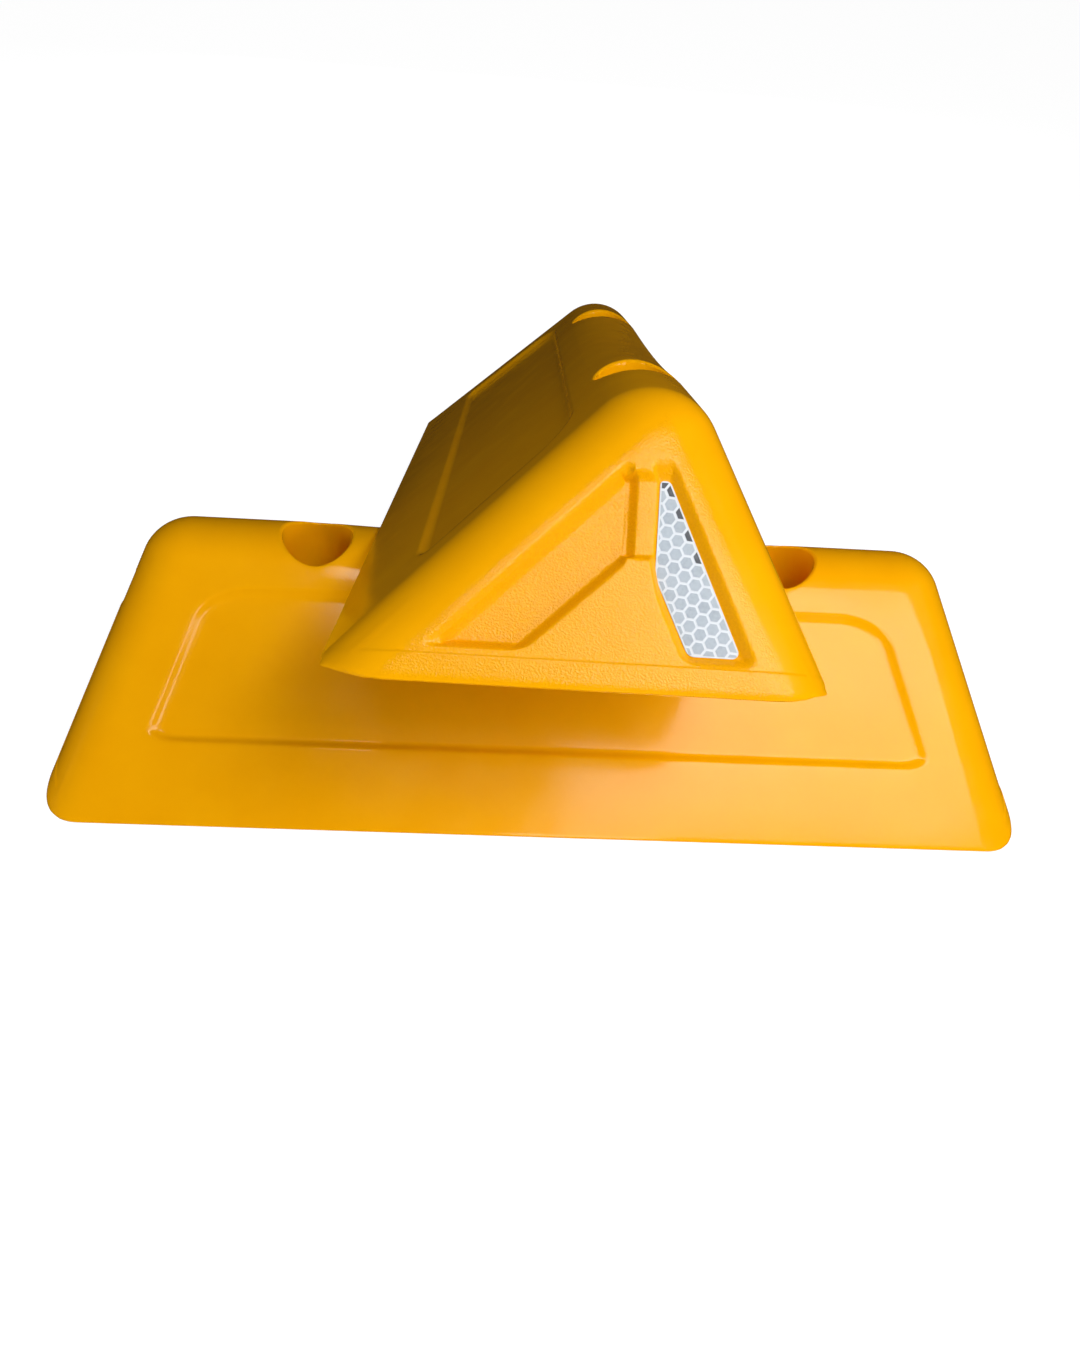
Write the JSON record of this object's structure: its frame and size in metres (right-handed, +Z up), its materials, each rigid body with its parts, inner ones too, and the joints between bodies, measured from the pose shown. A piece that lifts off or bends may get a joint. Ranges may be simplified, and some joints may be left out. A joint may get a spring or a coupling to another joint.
{
  "type": "wheel stop",
  "caption": "Hollow plastic wheel stop: a wedge with a long front slope, bolt wells through its ridge and reflective sheet on its ends, with a matching stop leaning loose across the ridge.",
  "frame": {"origin": "on the lower stop's base, midway between its two anchor holes", "axes": "+X along the lower stop, +Y from its long front slope to its steep back, +Z up"},
  "size_m": [0.45, 0.4325, 0.2047],
  "materials": {
    "yellow_plastic": "satin moulded plastic, yellow-orange right through",
    "reflective_sheet": "silver-grey honeycomb reflective sheeting with white cell walls, self-adhesive"
  },
  "bodies": {
    "lower_stop": {"lower_body": "yellow_plastic", "lower_left_reflector": "reflective_sheet", "lower_right_reflector": "reflective_sheet"},
    "upper_stop": {"upper_body": "yellow_plastic", "upper_front_reflector": "reflective_sheet", "upper_rear_reflector": "reflective_sheet"}
  },
  "joints": [
    {"name": "upper_lift", "type": "slide", "parent": "lower_stop", "child": "upper_stop", "axis": [0, 0, 1], "range_m": [0, 0.15]}
  ]
}
